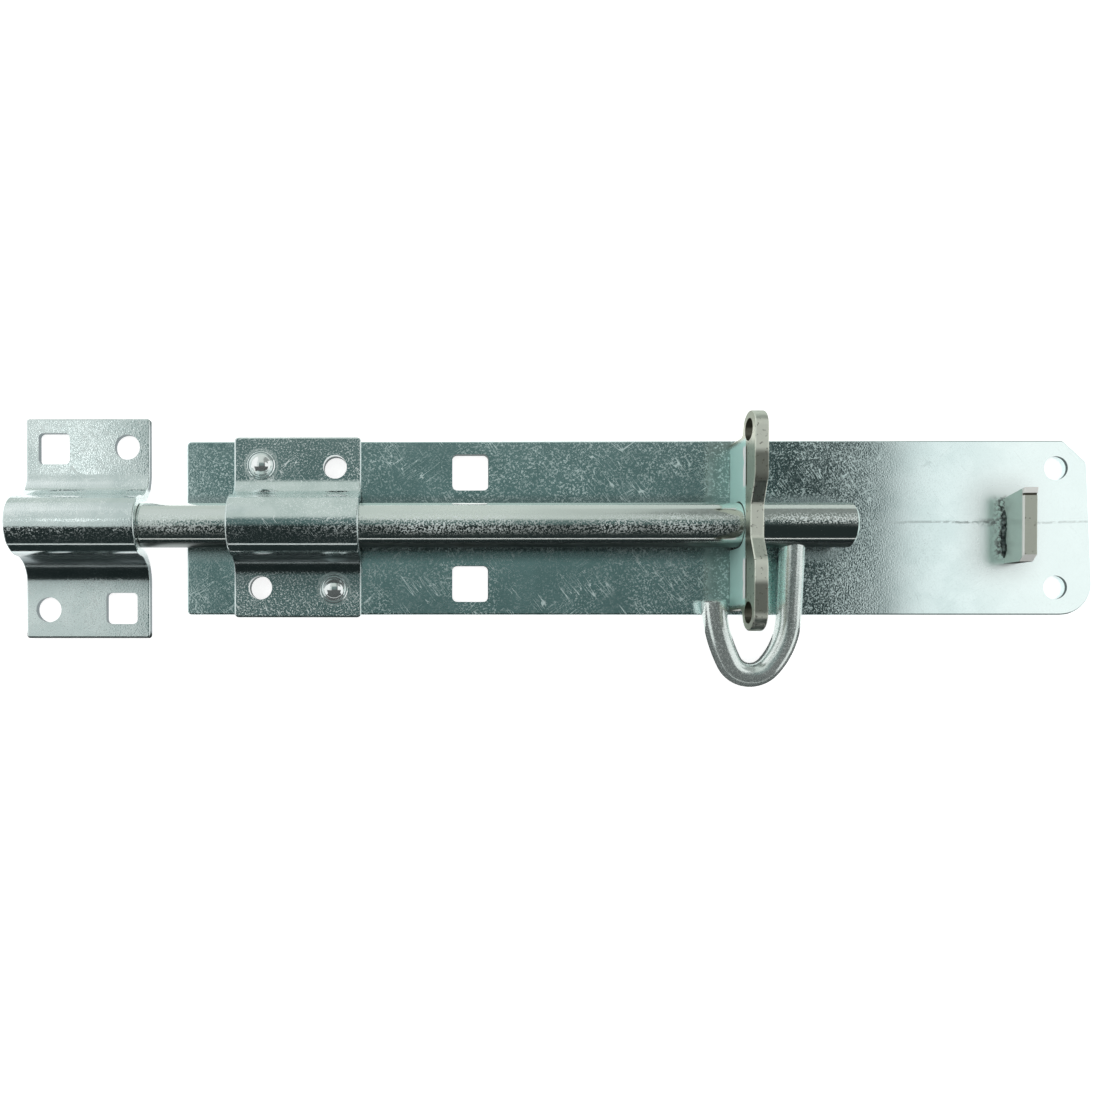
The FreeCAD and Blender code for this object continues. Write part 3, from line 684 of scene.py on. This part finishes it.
@dataclass(frozen=True)
class LugFinish(ZincFinish):
    """Plating of a punched plate, teal on its two faces and yellowish on its punched rim.

    Spans with up in their names are heights, and those with across, and the shade's, lie across the bolt.
    side_span and ridge_span are of how far a surface faces along X and Z.
    """

    side_span: Span = (0.75, 0.92)
    stem_up: Span = (15.5 * MM, 14.5 * MM)
    stem_across: Span = (22.5 * MM, 21 * MM)
    face: Coat = Coat((0.60, 0.95, 0.88), 0.35, strength=0.9, metal=0.3)
    ear: Coat = Coat((0.52, 0.54, 0.45), 0.3)
    rim: Coat = Coat(PUNCHED, 0.36, strength=0.85)
    ridge: Coat = Coat(PUNCHED, 0.45, strength=0.8, metal=0.45)
    ridge_span: Span = (0.9, 0.97)
    shade: Coat = Coat((0.17, 0.18, 0.15), 0.3, strength=0.9)
    shade_upper: tuple[Span, Span] = ((9 * MM, 10.5 * MM), (18.5 * MM, 16.5 * MM))
    shade_lower: tuple[Span, Span] = ((-15 * MM, -17 * MM), (-25 * MM, -23.5 * MM))
    streak: Coat = Coat((0.95, 0.98, 0.97), 0.5, metal=0.1)
    streak_across: tuple[Span, Span] = ((9 * MM, 10 * MM), (20.5 * MM, 19.5 * MM))
    streak_up: Span = (12.8 * MM, 13.4 * MM)
    fray_size: float = 2.5 * MM
    fray: float = 2.4 * MM
    pit: Coat = Coat(NEAR_BLACK, 0.5)
    pit_up: tuple[Span, Span] = ((14.8 * MM, 15.2 * MM), (16.2 * MM, 15.8 * MM))
    torn: Coat = Coat(NEAR_BLACK, 0.5, strength=0.7, rise=-2e-5)
    torn_size: float = 1.1 * MM
    torn_span: Span = (0.6, 0.72)
    bore: Coat = Coat(NEAR_BLACK, 0.5, strength=0.9)
    bore_span: Span = (4 * MM, 3.8 * MM)
    hole_y: float = 23.8 * MM
    hole_z: float = 17.3 * MM

    def mark(self, graph: ShaderGraph, skin: Skin) -> None:
        """Tint the faces and the rim, streak the faces over the foot, and pit the rim that the punch tore.

        Args:
            graph: Tree that the nodes go into.
            skin: The plating that the tints lie on.
        """
        place = graph.place()
        over, up = place.along(Axis.Y), place.along(Axis.Z)
        across = abs(over)
        side = abs(graph.facing(Axis.X)).step(*self.side_span)
        stem = up.step(*self.stem_up) * across.step(*self.stem_across)
        skin.lay(graph, 1.0 - side, self.rim)
        skin.lay(graph, side * (1.0 - stem), self.ear)
        skin.lay(graph, side * stem, self.face)
        skin.lay(graph, graph.facing(Axis.Z).step(*self.ridge_span), self.ridge)
        shaded = self._between(over, self.shade_upper).greatest(self._between(over, self.shade_lower))
        skin.lay(graph, shaded * (1.0 - side), self.shade)
        reach = side * self._between(across, self.streak_across)
        frayed = (graph.noise(place, self.fray_size) - 0.5) * self.fray + up
        skin.lay(graph, reach * frayed.step(*self.streak_up) * stem, self.streak)
        skin.lay(graph, reach * self._between(up, self.pit_up), self.pit)
        torn = graph.noise(place, self.torn_size, detail=2.0, rough=0.6).step(*self.torn_span)
        skin.lay(graph, torn * (1.0 - side * stem), self.torn)
        radius = graph.distance(across - self.hole_y, up - self.hole_z)
        skin.lay(graph, radius.step(*self.bore_span) * (1.0 - side), self.bore)

    @staticmethod
    def _between(value: Socket, ends: tuple[Span, Span]) -> Socket:
        """Mask what lies between two ends, each with its own soft edge."""
        return value.step(*ends[0]) * value.step(*ends[1])


@dataclass(frozen=True)
class TabFinish(LugFinish):
    """Plating of the sheared tab, with its lip painted pale where it faces the light, a painted shadow line
    where the top meets the lip, a painted highlight along its top edge and a dark lower end.

    top_span is of how far a surface faces along Z, edge_span along X, and end_span and corner_span along Y.
    """

    top_span: Span = (0.3, 0.5)
    # The lip is painted pale where it faces the light: painted light.
    lip: Coat = Coat(PALE_METAL, 0.6, metal=0.2)
    lip_across: Span = (8.2 * MM, 8.4 * MM)
    # Painted shadow: a dark line where the tab's top meets the lip.
    lip_shadow: Coat = Coat(NEAR_BLACK, 0.6, metal=0.3)
    lip_shadow_y: float = 8.0 * MM
    lip_shadow_edge: Span = (0.35 * MM, 0.25 * MM)
    lip_shadow_up: Span = (9.8 * MM, 10 * MM)
    # Painted highlight: a pale line along the top of the tab's left face, where its edge would catch the
    # light.
    edge: Coat = Coat(PALE_METAL, 0.5, strength=0.9, metal=0.2)
    edge_span: Span = (-0.1, -0.3)
    edge_up: Span = (9.9 * MM, 10.1 * MM)
    end_span: Span = (-0.8, -0.95)
    corner: Coat = Coat(PALE_METAL, 0.5, metal=0.2)
    corner_span: tuple[Span, Span] = ((-0.4, -0.55), (-0.9, -0.8))

    def mark(self, graph: ShaderGraph, skin: Skin) -> None:
        """Tint the tab's faces, paint its lip pale as lit, paint a shadow line where the top meets the lip
        and a highlight along its top edge, and darken its lower end.

        Args:
            graph: Tree that the nodes go into.
            skin: The plating that the tints lie on.
        """
        super().mark(graph, skin)
        place = graph.place()
        across, up = place.along(Axis.Y), place.along(Axis.Z)
        # Painted light on the lip.
        skin.lay(graph, graph.facing(Axis.Z).step(*self.top_span) * across.step(*self.lip_across), self.lip)
        # Painted shadow line where the top meets the lip.
        lip_shadow = abs(across - self.lip_shadow_y).step(*self.lip_shadow_edge)
        skin.lay(graph, lip_shadow * up.step(*self.lip_shadow_up), self.lip_shadow)
        # Painted highlight along the top edge of the left face.
        skin.lay(graph, graph.facing(Axis.X).step(*self.edge_span) * up.step(*self.edge_up), self.edge)
        tilt = graph.facing(Axis.Y)
        skin.lay(graph, tilt.step(*self.end_span), self.pit)
        skin.lay(graph, self._between(tilt, self.corner_span), self.corner)


def linked_object(name: str, shape: bmesh.types.BMesh) -> bpy.types.Object:
    """Turn a finished shape into an object of the scene.

    Args:
        name: Name of the object and its mesh.
        shape: The shape, which is used up.

    Returns:
        The object.
    """
    mesh = bpy.data.meshes.new(name)
    shape.to_mesh(mesh)
    shape.free()
    made = bpy.data.objects.new(name, mesh)
    bpy.context.scene.collection.objects.link(made)
    return made


@dataclass
class Piece:
    """A piece of the bolt that keeps its CAD shape and gets a finish."""

    node: str
    slot: str
    finish: ZincFinish

    def dress(self, nodes: dict[str, bpy.types.Object]) -> bpy.types.Object:
        """Give the CAD node its finish.

        Args:
            nodes: The CAD nodes by name.

        Returns:
            The dressed object.
        """
        piece = nodes[self.node]
        piece.data.materials.clear()
        piece.data.materials.append(self.finish.material())
        return piece


@dataclass
class TabWeld:
    """The rough weld bead along Y in the corner between the tab's foot and the plate."""

    finish: ZincFinish
    name: str = "tab_weld"
    slot: str = "lug_zinc"
    low_gap: float = 1.5 * MM
    high_gap: float = 5 * MM
    radius: float = 0.9 * MM
    swell: float = 0.6
    lump_size: float = 0.9 * MM
    tip_share: float = 0.3
    taper_rate: float = 6.0
    step_length: float = 0.4 * MM
    sides: int = 12

    def build(self) -> bpy.types.Object:
        """Draw the bead out ring by ring, each a little thicker or thinner than the last.

        Returns:
            The bead, riding on the base.
        """
        low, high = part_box("stop_tab")
        start_y, end_y = low[1] + self.low_gap, high[1] - self.high_gap
        length = end_y - start_y
        start = Vector((low[0], start_y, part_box("base_plate")[1][2]))
        bead = bmesh.new()
        tip = self.radius * self.tip_share
        ring = bmesh.ops.create_circle(bead, segments=self.sides, radius=tip)["verts"]
        upright = Matrix.Rotation(math.pi / 2, 3, "X")
        bmesh.ops.rotate(bead, verts=ring, cent=(0.0, 0.0, 0.0), matrix=upright)
        bmesh.ops.translate(bead, verts=ring, vec=start)
        steps = round(length / self.step_length)
        edges = list(bead.edges)
        for number in range(1, steps + 1):
            drawn = bmesh.ops.extrude_edge_only(bead, edges=edges)["geom"]
            ring = [item for item in drawn if isinstance(item, bmesh.types.BMVert)]
            edges = [item for item in drawn if isinstance(item, bmesh.types.BMEdge)]
            bmesh.ops.translate(bead, verts=ring, vec=(0.0, length / steps, 0.0))
            self._swell(ring, start, number / steps)
        bmesh.ops.holes_fill(bead, edges=bead.edges)
        bmesh.ops.recalc_face_normals(bead, faces=bead.faces)
        for face in bead.faces:
            face.smooth = True
        made = linked_object(self.name, bead)
        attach(made, "base")
        return made

    def _swell(self, ring: list[bmesh.types.BMVert], start: Vector, share: float) -> None:
        """Set the thickness of one ring, and roughen it.

        Args:
            ring: Its vertices.
            start: Where the bead starts.
            share: How far along the bead the ring is, from 0 to 1.
        """
        centre = Vector((start.x, ring[0].co.y, start.z))
        taper = min(1.0, self.tip_share + self.taper_rate * min(share, 1.0 - share))
        for vert in ring:
            spoke = (vert.co - centre).normalized()
            rough = noise.noise((centre + spoke * self.radius) / self.lump_size)
            vert.co = centre + spoke * self.radius * taper * (1.0 + self.swell * rough)

    def dress(self, bead: bpy.types.Object) -> None:
        """Give the bead its finish."""
        bead.data.materials.append(self.finish.material())


@dataclass
class Card:
    """A flat card of the studio that shows only in reflections."""

    name: str
    corners: tuple[Triple, ...]

    @classmethod
    def level(cls, name: str, near: Pair, far: Pair, height: float) -> "Card":
        """Lay a card level between two opposite corners.

        Args:
            name: Its name.
            near: X and Y of the first corner.
            far: X and Y of the opposite corner.
            height: Height of the card.

        Returns:
            The card, not built yet.
        """
        (left, start), (right, end) = near, far
        return cls(name, ((left, start, height), (right, start, height),
                          (right, end, height), (left, end, height)))

    def build(self, material: bpy.types.Material, blocks: bool = True) -> None:
        """Make the card, hidden from the camera and from diffuse light.

        Args:
            material: What its face shows.
            blocks: Whether it casts a shadow.
        """
        sheet = bmesh.new()
        sheet.faces.new([sheet.verts.new(corner) for corner in self.corners])
        card = linked_object(self.name, sheet)
        card.data.materials.append(material)
        card.visible_camera = False
        card.visible_diffuse = False
        card.visible_shadow = blocks


@dataclass
class Tent:
    """The cloth that the zinc mirrors: dim over the bolt, bright beside it and dark in front.

    Each span holds where a tone starts and where it is full: along Y if its name ends in front or back,
    along Z for slit_low, slit_high and hem, and along X for the rest.
    """

    top: float = 1.0
    half: float = 1.8
    front: float = -1.2
    back: float = 1.4
    dark: Colour = (0.020, 0.028, 0.028)
    dusk: Colour = (0.105, 0.165, 0.162)
    pale: Colour = (0.62, 0.67, 0.64)
    left_tone: Colour = (0.66, 0.70, 0.69)
    patch_glow: Colour = (2.4, 2.4, 2.4)
    dusk_back: Span = (-0.22, 0.08)
    pale_back: Span = (0.20, 0.56)
    fade_near: Span = (0.05, 0.3)
    fade_near_share: float = 0.15
    fade_far: Span = (0.3, 0.48)
    fade_far_share: float = 0.5
    deep_left: Span = (0.33, 0.37)
    deep_right: Span = (0.53, 0.46)
    deep_back: Span = (0.34, 0.22)
    deep_share: float = 0.36
    left_white: Span = (-0.62, -0.9)
    patch_right: Span = (-0.52, -0.53)
    patch_left: Span = (-0.555, -0.545)
    patch_front: Span = (0.12, 0.16)
    patch_back: Span = (0.34, 0.3)
    strip_left: Span = (-0.44, -0.40)
    strip_right: Span = (0.532, 0.612)
    right_back: Span = (0.75, 0.45)
    dark_front: Span = (-0.15, -0.25)
    slit_low: Span = (0.155, 0.175)
    slit_high: Span = (0.265, 0.245)
    slit_front: Span = (-1.0, -1.1)
    hem: Span = (0.12, 0.08)
    hem_back: Span = (-0.02, 0.02)
    apron_y: float = 29 * MM
    apron_z: float = 0.3 * MM
    hole_spot: Pair = (-46.4 * MM, -15.4 * MM)
    hole_half: float = 4.9 * MM
    hole_z: float = 1.2 * MM

    def tone(self, graph: ShaderGraph) -> Socket:
        """Grade the cloth.

        Args:
            graph: Tree that the nodes go into.

        Returns:
            The colour of the cloth at each place.
        """
        place = graph.place()
        along, over, up = place.along(Axis.X), place.along(Axis.Y), place.along(Axis.Z)
        tone = graph.mixed(along.step(*self.strip_left), self._left(graph, along, over),
                           self._strip(graph, along, over))
        right = along.step(*self.strip_right) * over.step(*self.right_back)
        tone = graph.mixed(right, tone, WHITE)
        tone = graph.mixed(over.step(*self.dark_front), tone, self.dark)
        slit = up.step(*self.slit_low) * up.step(*self.slit_high) * over.step(*self.slit_front)
        tone = graph.mixed(slit, tone, WHITE)
        hem = graph.mixed(over.step(*self.hem_back), self.dark, self.pale)
        return graph.mixed(up.step(*self.hem), tone, hem)

    def _strip(self, graph: ShaderGraph, along: Socket, over: Socket) -> Socket:
        """Grade the dim strip over the bolt.

        Args:
            graph: Tree that the nodes go into.
            along: Place along X.
            over: Place along Y.

        Returns:
            The strip's colour.
        """
        strip = graph.mixed(over.step(*self.dusk_back), self.dark, self.dusk)
        strip = graph.mixed(over.step(*self.pale_back), strip, self.pale)
        shade = 1.0 - along.step(*self.fade_near) * self.fade_near_share
        shade = shade - along.step(*self.fade_far) * self.fade_far_share
        deep = along.step(*self.deep_left) * along.step(*self.deep_right) * over.step(*self.deep_back)
        return graph.mixed(shade - deep * self.deep_share, self.dark, strip)

    def _left(self, graph: ShaderGraph, along: Socket, over: Socket) -> Socket:
        """Grade the bright cloth at the left, with the patch that the keep mirrors.

        Args:
            graph: Tree that the nodes go into.
            along: Place along X.
            over: Place along Y.

        Returns:
            The colour there.
        """
        left = graph.mixed(along.step(*self.left_white), self.left_tone, WHITE)
        patch = along.step(*self.patch_right) * along.step(*self.patch_left)
        patch = patch * over.step(*self.patch_front) * over.step(*self.patch_back)
        return graph.mixed(patch, left, self.patch_glow)

    def build(self) -> None:
        """Hang the roof and two walls, lay the aprons beside the plate and shade its lower square hole."""
        cloth = bpy.data.materials.new("tent_cloth")
        graph = ShaderGraph(cloth)
        graph.end(graph.node("ShaderNodeEmission", {}, {"Color": self.tone(graph), "Strength": 1.0}))
        half, top = self.half, self.top
        Card.level("tent_roof", (-half, self.front), (half, self.back), top).build(cloth)
        for name, y in (("tent_front", self.front), ("tent_back", self.back)):
            Card(name, ((-half, y, 0.0), (half, y, 0.0), (half, y, top), (-half, y, top))).build(cloth)
        for name, near, far in (("apron_front", -self.apron_y, self.front),
                                ("apron_back", self.apron_y, self.back)):
            Card.level(name, (-half, near), (half, far), self.apron_z).build(cloth, blocks=False)
        x, y = self.hole_spot
        corner, opposite = (x - self.hole_half, y - self.hole_half), (x + self.hole_half, y + self.hole_half)
        Card.level("hole_shade", corner, opposite, self.hole_z).build(cloth, blocks=False)


@dataclass
class Studio:
    """The white world and floor, the tent, the soft boxes and the camera.

    The camera's turn is its yaw, pitch and roll in degrees, and its lens and film are in millimetres.
    """

    world_light: Colour = (0.45, 0.45, 0.45)
    floor_drop: float = 0.05 * MM
    floor_half: float = 40.0
    floor_tone: Colour = (0.8, 0.8, 0.8)
    floor_glow: float = 0.78
    box_right: Triple = (1.05, 0.45, 0.62)
    box_left: Triple = (-0.95, 0.45, 0.62)
    box_size: Pair = (1.2, 1.0)
    box_radiance: float = 1.5
    eye: Triple = (-0.0586, -0.0310, 0.2587)
    turn: Triple = (-0.51, -0.556, 0.03)
    lens: float = 30.24
    film: float = 36.0
    shift: Pair = (0.12, 0.09)

    def seen_share(self, graph: ShaderGraph) -> Socket:
        """Tell camera, mirror and glass rays from the rays that light the object.

        Args:
            graph: Tree that the nodes go into.

        Returns:
            1 for the rays that see, and 0 for those that light.
        """
        def path(name: str) -> Socket:
            """Read one kind of ray."""
            return graph.node("ShaderNodeLightPath", {}, {}, name)

        seen = path("Is Camera Ray").greatest(path("Is Glossy Ray"))
        return seen.greatest(path("Is Transmission Ray"))

    def world(self) -> None:
        """Make a world that is white to the eye and in mirrors, and a plain soft light otherwise."""
        world = bpy.data.worlds.new("studio")
        bpy.context.scene.world = world
        graph = ShaderGraph(world)
        colour = graph.mixed(self.seen_share(graph), self.world_light, WHITE)
        background = graph.node("ShaderNodeBackground", {}, {"Color": colour, "Strength": 1.0})
        graph.end(background, "ShaderNodeOutputWorld")

    def floor(self) -> None:
        """Lay a white floor that keeps the object's shadow and isn't there from below."""
        sheet = bmesh.new()
        bmesh.ops.create_grid(sheet, x_segments=1, y_segments=1, size=self.floor_half)
        bmesh.ops.translate(sheet, verts=sheet.verts, vec=(0.0, 0.0, -self.floor_drop))
        floor = linked_object("floor", sheet)
        white = bpy.data.materials.new("floor_white")
        graph = ShaderGraph(white)
        matt = graph.node("ShaderNodeBsdfDiffuse", {}, {"Color": self.floor_tone})
        glow = graph.node("ShaderNodeEmission", {}, {
            "Color": WHITE, "Strength": self.seen_share(graph) * self.floor_glow})
        lit = graph.node("ShaderNodeAddShader", {}, {0: matt, 1: glow})
        behind = graph.node("ShaderNodeNewGeometry", {}, {}, "Backfacing")
        clear = graph.node("ShaderNodeBsdfTransparent", {}, {})
        graph.end(graph.node("ShaderNodeMixShader", {}, {0: behind, 1: lit, 2: clear}))
        floor.data.materials.append(white)

    def lamp(self, name: str, spot: Vector) -> None:
        """Stand a soft box that faces the middle of the bolt and doesn't show in mirrors.

        Args:
            name: Its name.
            spot: Where its centre stands.
        """
        data = bpy.data.lights.new(name, "AREA")
        data.shape = "RECTANGLE"
        width, height = self.box_size
        data.size = width
        data.size_y = height
        data.energy = self.box_radiance * math.pi * width * height
        box = bpy.data.objects.new(name, data)
        box.location = spot
        box.rotation_euler = (-spot).to_track_quat("-Z", "Y").to_euler()
        box.visible_glossy = False
        bpy.context.scene.collection.objects.link(box)

    def camera(self) -> None:
        """Set the camera over the bolt, its film nearly level with the plate."""
        data = bpy.data.cameras.new("camera")
        data.sensor_fit = "HORIZONTAL"
        data.sensor_width = self.film
        data.lens = self.lens
        data.shift_x, data.shift_y = self.shift
        camera = bpy.data.objects.new("camera", data)
        camera.location = self.eye
        yaw, pitch, roll = (math.radians(angle) for angle in self.turn)
        ahead = Vector((math.sin(yaw), math.sin(pitch), -math.cos(yaw) * math.cos(pitch))).normalized()
        right = ahead.cross(Vector((-math.sin(roll), math.cos(roll), 0.0))).normalized()
        above = right.cross(ahead)
        camera.rotation_euler = Matrix((right, above, -ahead)).transposed().to_euler()
        bpy.context.scene.collection.objects.link(camera)
        bpy.context.scene.camera = camera

    def build(self) -> None:
        """Make the whole studio."""
        bpy.context.scene.view_settings.view_transform = "Standard"
        self.world()
        self.floor()
        Tent().build()
        self.lamp("soft_box_right", Vector(self.box_right))
        self.lamp("soft_box_left", Vector(self.box_left))
        self.camera()


PLATE = PlateFinish("plate_zinc", bright=(0.77, 0.91, 0.90), cloud=(0.68, 0.82, 0.81),
                    speck=(0.72, 0.88, 0.86))
PRESSED = PressedFinish("pressed_zinc", bright=(0.77, 0.85, 0.84), cloud=(0.67, 0.76, 0.75), speck_share=0.8)
RIVET = ZincFinish("rivet_zinc", bright=(0.90, 0.95, 0.94), cloud=(0.84, 0.90, 0.89), roughness=0.09,
                   metal=0.86, grain_rise=2e-6, speck_share=0.05, scratch_share=0.0)
BAR = BarFinish("bar_zinc", bright=(0.83, 0.88, 0.84), cloud=(0.75, 0.81, 0.78), drawn=True,
                speck_share=0.95, speck_from=0.49, scratch_share=0.2)
LUG = LugFinish("lug_zinc", bright=(0.72, 0.79, 0.74), cloud=(0.60, 0.70, 0.66), grain_rise=8e-6,
                speck_share=0.4, scratch_share=0.3)
TAB = TabFinish("tab_zinc", bright=(0.72, 0.79, 0.74), cloud=(0.60, 0.70, 0.66), grain_rise=8e-6,
                speck_share=0.5, scratch_share=0.3,
                face=Coat((0.50, 0.66, 0.59), 0.35, strength=0.9, metal=0.3),
                rim=Coat(CROPPED, 0.36, strength=0.85),
                ridge=Coat(CROPPED, 0.45, strength=0.8, metal=0.45))
WELD = ZincFinish("weld_zinc", bright=(0.16, 0.20, 0.19), cloud=(0.03, 0.04, 0.04), cloud_size=1.6 * MM,
                  roughness=0.36, grain_size=0.7 * MM, grain_rise=8e-5, speck_share=0.15, scratch_share=0.0)
HOOK = ZincFinish("hook_zinc", bright=(0.86, 0.93, 0.90), cloud=(0.74, 0.83, 0.80), roughness=0.17,
                  metal=0.76, grain_rise=1.1e-5, speck_share=0.35, scratch_share=0.2)

PIECES = (
    Piece("base_plate", "plate_zinc", PLATE),
    Piece("guide_strap", "pressed_zinc", PRESSED),
    Piece("strap_rivets", "rivet_zinc", RIVET),
    Piece("bolt_bar", "bar_zinc", BAR),
    Piece("locking_lug", "lug_zinc", LUG),
    Piece("stop_tab", "lug_zinc", TAB),
    Piece("keep", "pressed_zinc", PRESSED),
    Piece("hook_handle", "hook_zinc", HOOK),
)


def main() -> None:
    """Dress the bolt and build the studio."""
    logging.basicConfig(level=logging.INFO, format="%(name)s: %(message)s")
    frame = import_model()
    for piece in PIECES:
        made = piece.dress(frame["nodes"])
        LOG.info("%s in %s", made.name, piece.finish.name)
    weld = TabWeld(WELD)
    bead = weld.build()
    weld.dress(bead)
    LOG.info("%s in %s", bead.name, WELD.name)
    Studio().build()


if __name__ == "__main__":
    main()
